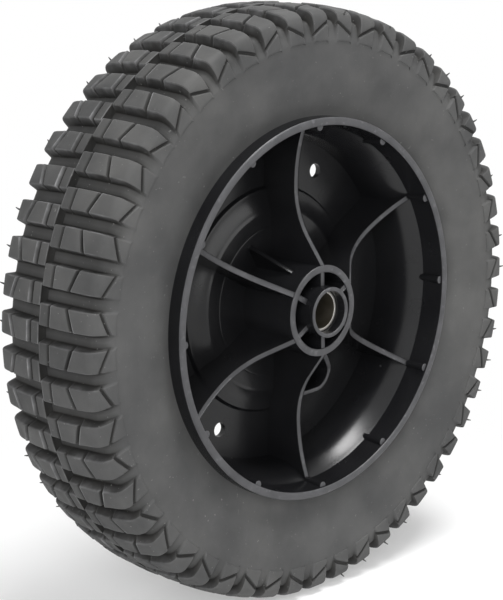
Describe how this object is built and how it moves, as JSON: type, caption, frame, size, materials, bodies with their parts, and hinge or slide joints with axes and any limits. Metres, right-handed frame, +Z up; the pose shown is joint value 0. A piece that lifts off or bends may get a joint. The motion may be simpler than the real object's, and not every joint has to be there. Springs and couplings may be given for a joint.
{
  "type": "lawn mower wheel",
  "caption": "Lawn mower wheel: hollow rubber tyre with staggered tread bars on a ribbed moulded rim, with a steel sleeve in the hub for the axle.",
  "frame": {"origin": "centre of the axle bore, at the middle of the tyre's width", "axes": "+Y along the axle, away from the machine; the ribbed face looks to -Y; +Z up"},
  "size_m": [0.2, 0.0546, 0.2],
  "materials": {
    "tyre": "matte moulded rubber",
    "rim": "gloss moulded plastic",
    "sleeve": "drawn steel"
  },
  "bodies": {
    "root": {"tyre": "tyre", "wheel_rim": "rim", "axle_sleeve": "sleeve"}
  },
  "joints": []
}
